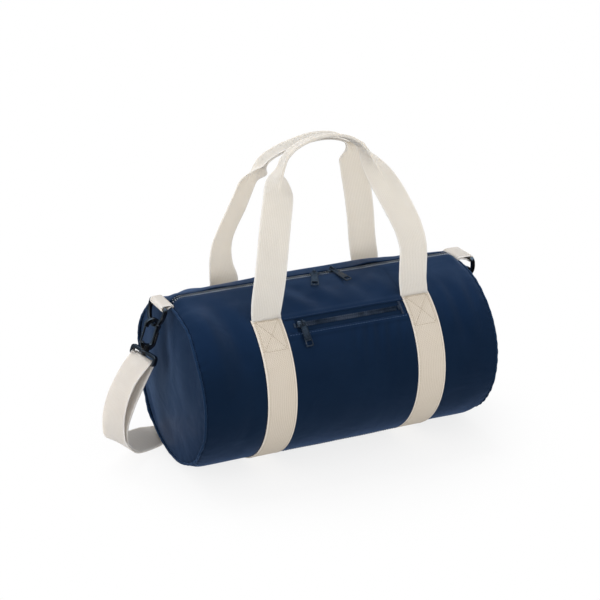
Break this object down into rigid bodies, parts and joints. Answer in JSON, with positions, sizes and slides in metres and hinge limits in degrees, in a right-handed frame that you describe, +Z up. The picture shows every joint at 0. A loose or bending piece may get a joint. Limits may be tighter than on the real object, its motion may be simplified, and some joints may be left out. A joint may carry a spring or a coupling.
{
  "type": "barrel bag",
  "caption": "Small cloth barrel bag with webbing bands and handles, a zipped top, a zipped front pocket and a clip-on shoulder strap.",
  "frame": {"origin": "on the ground plane under the middle of the barrel, where the foot of the bag rests", "axes": "+X along the barrel towards its right end, +Y from the front pocket towards the back, +Z up"},
  "size_m": [0.5263, 0.2256, 0.399],
  "materials": {
    "body_cloth": "matt navy coated cloth",
    "zip_tape": "matt dark navy woven tape",
    "zip_teeth": "dark blue-grey moulded teeth",
    "zip_metal": "dark gunmetal enamel",
    "webbing": "natural cream cotton webbing",
    "clip_plastic": "black semi-gloss moulding"
  },
  "bodies": {
    "bag": {"barrel_panel": "body_cloth", "front_yoke": "body_cloth", "pocket_panel": "body_cloth", "left_end_panel": "body_cloth", "right_end_panel": "body_cloth", "left_end_piping": "body_cloth", "right_end_piping": "body_cloth", "left_seam_binding": "zip_tape", "right_seam_binding": "zip_tape", "main_zip_front_tape": "zip_tape", "main_zip_back_tape": "zip_tape", "main_zip_front_teeth": "zip_teeth", "main_zip_back_teeth": "zip_teeth", "pocket_zip_upper_tape": "zip_tape", "pocket_zip_lower_tape": "zip_tape", "pocket_zip_upper_teeth": "zip_teeth", "pocket_zip_lower_teeth": "zip_teeth", "pocket_zip_stops": "zip_tape", "left_band": "webbing", "right_band": "webbing", "left_ring_tab": "webbing", "right_ring_tab": "webbing", "shoulder_strap": "webbing", "strap_return": "webbing"},
    "front_handle": {"front_handle": "webbing"},
    "back_handle": {"back_handle": "webbing"},
    "left_slider": {"left_zip_slider": "zip_metal"},
    "left_puller": {"left_zip_puller": "zip_metal"},
    "right_slider": {"right_zip_slider": "zip_metal"},
    "right_puller": {"right_zip_puller": "zip_metal"},
    "pocket_slider": {"pocket_zip_slider": "zip_metal"},
    "pocket_puller": {"pocket_zip_puller": "zip_metal"},
    "left_ring": {"left_d_ring": "clip_plastic", "left_strap_loop": "clip_plastic", "left_strap_end": "webbing"},
    "left_hook": {"left_snap_hook": "clip_plastic"},
    "left_gate": {"left_hook_gate": "clip_plastic"},
    "right_ring": {"right_d_ring": "clip_plastic", "right_strap_loop": "clip_plastic", "right_strap_end": "webbing"},
    "right_hook": {"right_snap_hook": "clip_plastic"},
    "right_gate": {"right_hook_gate": "clip_plastic"},
    "adjuster": {"strap_adjuster": "clip_plastic", "strap_return_end": "webbing"}
  },
  "joints": [
    {"name": "front_handle_swing", "type": "hinge", "parent": "bag", "child": "front_handle", "pos_m": [0.00225, -0.06325, 0.19533], "axis": [1, 0, 0], "range_deg": [0, 120]},
    {"name": "back_handle_swing", "type": "hinge", "parent": "bag", "child": "back_handle", "pos_m": [0.00225, 0.06325, 0.19533], "axis": [-1, 0, 0], "range_deg": [0, 120]},
    {"name": "left_slider_run", "type": "slide", "parent": "bag", "child": "left_slider", "axis": [-1, 0, 0], "range_m": [0, 0.16]},
    {"name": "left_puller_lift", "type": "hinge", "parent": "left_slider", "child": "left_puller", "pos_m": [-0.004, 0, 0.21875], "axis": [-0.9135, 0.4067, 0], "range_deg": [0, 150]},
    {"name": "right_slider_run", "type": "slide", "parent": "bag", "child": "right_slider", "axis": [1, 0, 0], "range_m": [0, 0.145]},
    {"name": "right_puller_lift", "type": "hinge", "parent": "right_slider", "child": "right_puller", "pos_m": [0.02, 0, 0.21875], "axis": [-0.9613, -0.2756, 0], "range_deg": [0, 150]},
    {"name": "pocket_slider_run", "type": "slide", "parent": "bag", "child": "pocket_slider", "axis": [1, 0, 0], "range_m": [0, 0.12]},
    {"name": "pocket_puller_lift", "type": "hinge", "parent": "pocket_slider", "child": "pocket_puller", "pos_m": [-0.0575, -0.07983, 0.18815], "axis": [-0.9976, -0.0524, -0.0461], "range_deg": [0, 120]},
    {"name": "left_ring_swing", "type": "hinge", "parent": "bag", "child": "left_ring", "pos_m": [-0.206, 0.008, 0.2055], "axis": [0, 1, 0], "range_deg": [0, 35]},
    {"name": "left_hook_turn", "type": "hinge", "parent": "left_ring", "child": "left_hook", "pos_m": [-0.206, 0.008, 0.2055], "axis": [0.3256, 0, 0.9455], "range_deg": [-10, 10]},
    {"name": "left_gate_press", "type": "hinge", "parent": "left_hook", "child": "left_gate", "pos_m": [-0.22969, 0.00877, 0.16363], "axis": [0.0824, 0.9962, -0.0284], "range_deg": [0, 20], "stiffness_Nm_per_rad": 0.05, "springref_deg": -17.19},
    {"name": "right_ring_swing", "type": "hinge", "parent": "bag", "child": "right_ring", "pos_m": [0.214, 0.008, 0.2055], "axis": [0, -1, 0], "range_deg": [0, 35]},
    {"name": "right_hook_turn", "type": "hinge", "parent": "right_ring", "child": "right_hook", "pos_m": [0.214, 0.008, 0.2055], "axis": [-0.1392, 0, 0.9903], "range_deg": [-10, 10]},
    {"name": "right_gate_press", "type": "hinge", "parent": "right_hook", "child": "right_gate", "pos_m": [0.2293, 0.008, 0.15988], "axis": [0, -1, 0], "range_deg": [0, 20], "stiffness_Nm_per_rad": 0.05, "springref_deg": -17.19},
    {"name": "adjuster_slide", "type": "slide", "parent": "bag", "child": "adjuster", "axis": [1, 0, 0], "range_m": [-0.04, 0.04]}
  ]
}
